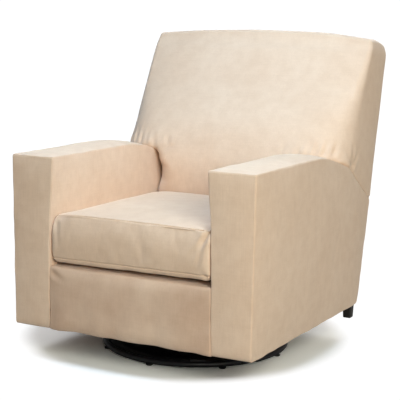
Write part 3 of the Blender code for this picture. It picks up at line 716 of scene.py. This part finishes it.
# ---- back ----
# Up the back: height, front face in the middle, front edge of the side face, reach of the corner
BACK_STATIONS = np.array([
    (0.306, 0.092, 0.150, 0.100),
    (0.450, 0.092, 0.160, 0.110),
    (0.590, 0.080, 0.184, 0.130),
    (0.690, 0.130, 0.257, 0.122),
    (0.760, 0.187, 0.282, 0.090),
    (0.840, 0.258, 0.308, 0.052),
    (0.920, 0.316, 0.341, 0.028),
    (0.975, 0.353, 0.371, 0.016),
    (1.000, 0.372, 0.386, 0.013),
])
BACK_SIDE_TOP = 1.008              # height of the sides before the top edge turns over
BACK_CROWN = 0.018                 # how much higher the top's middle is
TOP_EDGE = 0.014                   # radius of the turn
BELLY = 0.010                      # how far the front face stands out in its middle
HOLLOW_MIDDLE, HOLLOW_HALF = 0.533, 0.095   # heights where the arms pull the back in most
CRACK = 0.010                      # gap that shows where the back turns in beside an arm
SHOULDER = (0.050, 0.018)          # the top corners are rounded over this height and width


def station(z):
    """Front, side start and corner reach at a height, on a smooth curve through the stations."""
    heights = BACK_STATIONS[:, 0]
    near = np.array([z + step for step in (-0.02, -0.01, 0.0, 0.01, 0.02)])
    return [float(np.interp(near, heights, BACK_STATIONS[:, column]).mean()) for column in (1, 2, 3)]


def arm_seam_y(z):
    """How far back the arms reach at a height."""
    above_the_arm = (-1.0, ARM_TOP + 0.001)
    reaches, heights = zip(ARM_SEAM_END, SLOPE_END, SLOPE_START, above_the_arm)
    return float(np.interp(z, heights, reaches))


def back_ring(z, counts, inset=0.0):
    """One section: front and corner, side, and rear points for +X, from the front's middle to the rear's.

    Beside an arm the front rolls in and runs back along the arm's inner face. Above the arm's slope it
    comes out again round the arm's end.
    """
    front, side_start, corner = station(z)
    over = np.clip((z - BACK_SIDE_TOP + SHOULDER[0]) / SHOULDER[0], 0, 1)
    wide = float(outer_x(z)) - inset - SHOULDER[1] * (1 - math.sqrt(1 - over ** 2))
    rear = rear_y(min(z, REAR_HIGH.z)) - SKIN - inset - 0.0005
    front += inset
    flat_half = wide - corner
    flat = [(x, front - BELLY * (1 - (x / flat_half) ** 2)) for x in np.linspace(0, flat_half, 30)]
    curve = [(wide - corner * (1 - math.cos(a)), side_start - (side_start - front) * math.sin(a))
             for a in np.linspace(math.pi / 2, 0, 30)[1:]]
    natural = np.array(flat + curve)
    arm_y, wall = arm_seam_y(z) + 0.001, float(arm_inner_x(z)) + 0.002
    wall_front = float(np.interp(wall, natural[:, 0], natural[:, 1]))
    if z < ARM_REAR_TOP:
        arm_y = rear - 0.001
    if arm_y > wall_front + 0.004:
        hollow = math.cos(math.pi / 2 * np.clip((z - HOLLOW_MIDDLE) / HOLLOW_HALF, -1, 1)) ** 2
        pull = min(0.034 + 0.040 * hollow, 0.7 * (arm_y - wall_front))
        wall -= CRACK * smoothstep(0.40, 0.44, z) * smoothstep(0.642, 0.618, z)
        inner = natural[natural[:, 0] < wall - 0.020 - 0.5 * pull]
        start = np.array(inner[-1])
        corner_point = np.array((wall - 0.3 * pull, wall_front))
        deepest = np.array((wall, wall_front + pull))
        roll = [(1 - t) ** 2 * start + 2 * t * (1 - t) * corner_point + t * t * deepest
                for t in np.linspace(0, 1, 9)[1:]]
        if z < ARM_REAR_TOP:
            path = [*inner, *roll, (wall, rear - 0.03)]
            side_path = [(wall, rear - 0.03), (wall, rear)]
            wide = wall
        elif arm_y >= side_start:
            path = [*inner, *roll, (wall, arm_y), (wide, arm_y)]
            side_path = [(wide, arm_y), (wide, rear)]
        else:
            rest = natural[natural[:, 1] > arm_y]
            rest = rest[rest[:, 0] > wall]
            path = [*inner, *roll, (wall, arm_y), *rest]
            side_path = [(wide, side_start), (wide, rear)]
    else:
        path = natural
        side_path = [(wide, side_start), (wide, rear)]
    n_front, n_side = counts
    front_part = resample(path, n_front, 0.035)
    side_part = resample(side_path, n_side)
    rear_part = resample([(wide, rear), (0.0, rear)], n_front)
    return front_part, side_part, rear_part


def back_loop(z, counts, inset=0.0, lift=0.0):
    front_part, side_part, rear_part = back_ring(z, counts, inset)
    right = np.concatenate([front_part[:-1], side_part[:-1], rear_part])
    left = right[::-1][1:-1] * (-1, 1)
    flat = np.concatenate([right, left])
    flat = np.roll(flat, counts[0], axis=0)
    crown = BACK_CROWN * smoothstep(0.86, 1.01, z)
    slump = 0.022 * np.clip((flat[:, 1] - 0.410) / 0.095, 0, 1) ** 1.5 * smoothstep(0.93, 1.005, z)
    droop = 0.009 * smoothstep(0.22, HALF, flat[:, 0]) * smoothstep(0.80, 1.0, z)
    height = z + lift + crown * (1 - (flat[:, 0] / HALF) ** 2) - slump - droop
    return np.column_stack([flat, height])


def back():
    counts = (46, 16)
    turn_from = BACK_SIDE_TOP - TOP_EDGE
    heights = np.concatenate([np.arange(BACK_LOW.z, turn_from, STEP), [turn_from]])
    loops = [back_loop(z, counts) for z in heights]
    for turn in np.radians([22, 45, 67, 85]):
        inset, lift = TOP_EDGE * (1 - math.cos(turn)), TOP_EDGE * math.sin(turn)
        loops.append(back_loop(turn_from, counts, inset, lift))
    sewn = Sewn(loops, 2 * counts[0], counts[1], seam_loops=())
    obj = sewn.make("back_cover")
    pins = {}
    for v, (x, y, z) in enumerate(sewn.points):      # what cannot be seen stays put, and so do the edges
        hidden = y > rear_y(z) - 0.012 or z < 0.40 or back_is_in_arm(x, y, z)
        corner = z > 0.72 and abs(x) > outer_x(z) - 0.022 and y < station(z)[1] + 0.012
        if hidden or corner or z > BACK_SIDE_TOP - 0.03:
            pins[v] = 1.0
    inflate(obj, pins, pressure=2.0, limit=0.006)
    subdivide(obj)
    points = coordinates(obj.data)
    press(obj, back_puckers(points) + 0.0013 * soft_noise(points, 0.16, 12.0))
    dress(obj, CREAM, "cover", "chair_body", "back_cushion", fill=0.9)
    return obj


def back_puckers(points):
    """Folds where the cover is pulled in round the arms."""
    amount = np.zeros(len(points))
    for side in (-1, 1):
        def fan(start, ends, width, depth):
            mirrored = [(side * x, y, z) for x, y, z in ends]
            return folds(points, (side * start[0], *start[1:]), mirrored, width, depth)

        beside_seat = ((0.175, 0.085, 0.645), (0.180, 0.082, 0.590), (0.190, 0.082, 0.540),
                       (0.225, 0.090, 0.485))
        inner_corner = ((0.235, 0.105, 0.710), (0.290, 0.120, 0.715))
        outer_corner = ((0.408, 0.175, 0.665), (0.418, 0.220, 0.680), (0.419, 0.270, 0.650))
        amount += fan((0.268, 0.130, 0.585), beside_seat, 0.0090, 0.0075)
        amount += fan((0.275, 0.085, 0.625), inner_corner, 0.0100, 0.0080)
        for x, y, reach in ((0.215, 0.085, 0.030), (0.305, 0.090, 0.050), (0.330, 0.100, 0.062),
                            (0.358, 0.115, 0.048), (0.385, 0.135, 0.058)):
            start, end = (side * x, y, 0.632), (side * (x + 0.008), y + 0.03, 0.640 + reach)
            amount += fold(points, start, end, 0.0080, 0.0065)
        amount += fan((0.420, 0.210, 0.580), outer_corner, 0.0085, 0.0070)
    return amount


def back_is_in_arm(x, y, z):
    return abs(x) > arm_inner_x(z) - 0.004 and y < arm_seam_y(z) + 0.004


# ---- base ----
def turned(name, profile, steps=128):
    """A closed profile (radius, height) spun about the swivel axis."""
    around = np.linspace(0, 2 * math.pi, steps, endpoint=False)
    profile = np.asarray(profile, float)
    points = [(r * math.cos(a), AXIS_Y + r * math.sin(a), z) for a in around for r, z in profile]
    count = len(profile)
    faces = []
    for i in range(steps):
        for j in range(count):
            a, b = i * count, ((i + 1) % steps) * count
            k = (j + 1) % count
            faces.append((a + j, b + j, b + k, a + k))
    obj = closed_mesh(name, points, faces)
    obj.data.shade_smooth()
    obj.data.set_sharp_from_angle(angle=math.radians(35))
    return obj


def base():
    tube = (RING_HIGH.z - RING_LOW.z) / 2
    middle = (RING_HIGH.y - RING_LOW.y) / 2 - tube
    section = [(middle + tube * math.cos(a), RING_LOW.z + tube + tube * math.sin(a))
               for a in np.linspace(0, 2 * math.pi, 24, endpoint=False)]
    ring = turned("base_ring_tube", section)
    dress(ring, BLACK_STEEL, "black_steel", "floor_base", "base_ring")
    rim = PAN_HIGH.x
    high, sheet, lip = PAN_HIGH.z, 0.002, PAN_LOW.z
    hub, groove, groove_half, groove_depth = 0.030, 0.256, 0.016, 0.0035
    upper = [(hub, high), (groove - groove_half, high), (groove, high - groove_depth),
             (groove + groove_half, high)]
    lower = [(r, z - sheet) for r, z in upper[::-1]]
    upper = rounded([*upper, (rim, high), (rim, lip)], (0.01, 0.006, 0.006, 0.0012), 6)
    rim -= sheet
    lower = rounded([(rim, lip), (rim, high - sheet), *lower], (0.001, 0.006, 0.006, 0.01), 6)
    pan = turned("base_pan_sheet", [*upper, *lower], 160)
    dress(pan, BLACK_STEEL, "black_steel", "floor_base", "base_pan")


def paint_frame():
    """Materials for the CAD nodes that show as they are."""
    by_slot = {"black_steel": BLACK_STEEL, "zinc_steel": ZINC, "nylon": NYLON, "rubber": RUBBER,
               "wood": WOOD, "foot_plastic": FOOT_PLASTIC}
    for part in frame["record"]["subparts"]:
        obj = frame["nodes"][part["node"]]
        if not obj.hide_render:
            paint(obj, by_slot[part["material_slot"]])


# ---- stage ----
def floor():
    """A floor that takes the shadow and fades to plain white; what it bounces is a plain soft grey."""
    mesh = bpy.data.meshes.new("floor")
    half = 30.0
    corners = [(-half, -half, 0), (half, -half, 0), (half, half, 0), (-half, half, 0)]
    mesh.from_pydata(corners, [], [(0, 1, 2, 3)])
    obj = bpy.data.objects.new("floor", mesh)
    bpy.context.scene.collection.objects.link(obj)
    made = bpy.data.materials.new("floor_white")
    made.use_nodes = True
    tree = made.node_tree
    tree.nodes.remove(tree.nodes["Principled BSDF"])
    near = add_node(tree, "ShaderNodeBsdfDiffuse", Color=(*FLOOR_SEEN, 1.0))
    far = add_node(tree, "ShaderNodeEmission", Color=(1.0, 1.0, 1.0, 1.0), Strength=PLAIN_WHITE)
    place = tree.nodes.new("ShaderNodeTexCoord")
    distance = tree.nodes.new("ShaderNodeVectorMath")
    distance.operation = "DISTANCE"
    distance.inputs[1].default_value = FLOOR_SPOT
    tree.links.new(place.outputs["Object"], distance.inputs[0])
    fade = tree.nodes.new("ShaderNodeMapRange")
    fade.interpolation_type = "SMOOTHSTEP"
    fade.inputs["From Min"].default_value, fade.inputs["From Max"].default_value = FLOOR_FADE
    tree.links.new(distance.outputs["Value"], fade.inputs["Value"])
    seen = tree.nodes.new("ShaderNodeMixShader")
    for source, target in zip((fade.outputs["Result"], near.outputs[0], far.outputs[0]), seen.inputs):
        tree.links.new(source, target)
    bounced = add_node(tree, "ShaderNodeBsdfDiffuse", Color=(*FLOOR_BOUNCE, 1.0))
    camera_only(tree, bounced.outputs[0], seen.outputs[0], tree.nodes["Material Output"])
    paint(obj, made)


def surroundings():
    """A weak even light that looks plain white."""
    world = bpy.data.worlds.new("studio")
    bpy.context.scene.world = world
    world.use_nodes = True
    tree = world.node_tree
    background = tree.nodes["Background"]
    background.inputs["Color"].default_value = (*SKY, 1.0)
    seen = add_node(tree, "ShaderNodeBackground", Color=(1.0, 1.0, 1.0, 1.0), Strength=PLAIN_WHITE)
    camera_only(tree, background.outputs[0], seen.outputs[0], tree.nodes["World Output"])


def lamps():
    """Light from the ceiling, a softbox over the seat, and large lamps at the front right and the rear."""
    ceiling = light("ceiling", "SUN", (0.0, 0.0, 4.0), (0.0, 0.12, 0.0), CEILING)
    ceiling.angle = math.radians(40)
    over_seat = light("over_seat", "AREA", (0.22, -0.60, 2.0), (-0.06, -0.10, 0.5), SOFTBOX)
    over_seat.shape, over_seat.size, over_seat.size_y = "RECTANGLE", 0.80, 0.60
    large = {"front_right": ((3.1, -3.1, 2.2), FRONT_LAMP), "rear": ((-1.2, 4.0, 3.2), REAR_LAMP)}
    for name, (place, power) in large.items():
        lamp = light(name, "AREA", place, (0.0, 0.0, 0.5), power)
        lamp.shape, lamp.size = "SQUARE", 2.2


def camera_only(tree, usual, seen, output):
    """Give the output one shader for what the camera sees and another for everything else."""
    path = tree.nodes.new("ShaderNodeLightPath")
    blend = tree.nodes.new("ShaderNodeMixShader")
    tree.links.new(path.outputs["Is Camera Ray"], blend.inputs[0])
    tree.links.new(usual, blend.inputs[1])
    tree.links.new(seen, blend.inputs[2])
    tree.links.new(blend.outputs[0], output.inputs["Surface"])


def light(name, kind, location, target, colour):
    """A lamp whose power is the largest of its three colour values."""
    lamp = bpy.data.lights.new(name, kind)
    lamp.energy = max(colour)
    lamp.color = [value / max(colour) for value in colour]
    obj = bpy.data.objects.new(name, lamp)
    bpy.context.scene.collection.objects.link(obj)
    obj.visible_camera = False
    obj.location = location
    obj.rotation_euler = (Vector(target) - Vector(location)).to_track_quat("-Z", "Y").to_euler()
    return lamp


def camera():
    yaw, pitch, roll = (math.radians(angle) for angle in CAMERA_ANGLES)
    data = bpy.data.cameras.new("camera")
    data.sensor_width, data.lens = SENSOR, LENS
    obj = bpy.data.objects.new("camera", data)
    bpy.context.scene.collection.objects.link(obj)
    turn = Matrix.Rotation(-yaw, 3, "Z") @ Matrix.Rotation(math.pi / 2 + pitch, 3, "X")
    turn = turn @ Matrix.Rotation(roll, 3, "Z")
    obj.matrix_world = Matrix.Translation(CAMERA_PLACE) @ turn.to_4x4()
    bpy.context.scene.camera = obj


camera()
floor()
surroundings()
lamps()
bpy.context.scene.view_settings.view_transform = "Standard"
for arm_name, arm_side in (("arm_left", -1), ("arm_right", 1)):
    arm(arm_name, arm_side)
seat_cushion()
front_cover()
deck()
outside_back()
back()
base()
paint_frame()
